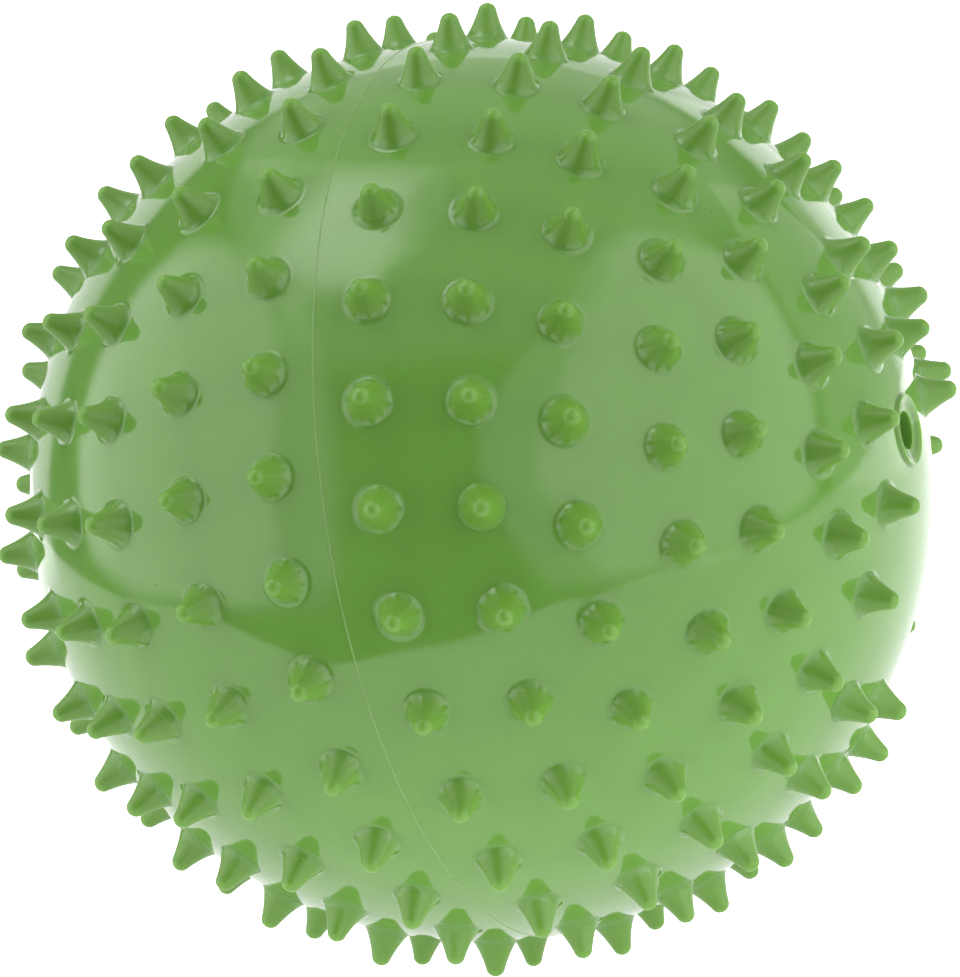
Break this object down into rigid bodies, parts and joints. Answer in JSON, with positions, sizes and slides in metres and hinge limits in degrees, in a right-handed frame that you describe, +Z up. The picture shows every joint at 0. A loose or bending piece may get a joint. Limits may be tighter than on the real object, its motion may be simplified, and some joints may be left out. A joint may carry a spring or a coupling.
{
  "type": "spiky massage ball",
  "caption": "Inflatable round massage ball with a soft hollow skin, moulded blunt spikes in rings, a thin seam and a recessed needle valve.",
  "frame": {"origin": "centre of the ball", "axes": "+X through the middle of the valve, +Z up, +Y away from the side that shows the seam and the valve together"},
  "size_m": [0.1952, 0.1992, 0.1993],
  "materials": {
    "skin": "glossy soft vinyl, slightly translucent",
    "collar": "glossy soft vinyl",
    "core": "satin soft rubber"
  },
  "bodies": {
    "root": {"shell_valve_half": "skin", "shell_far_half": "skin", "valve_collar": "collar", "valve_core": "core"}
  },
  "joints": []
}
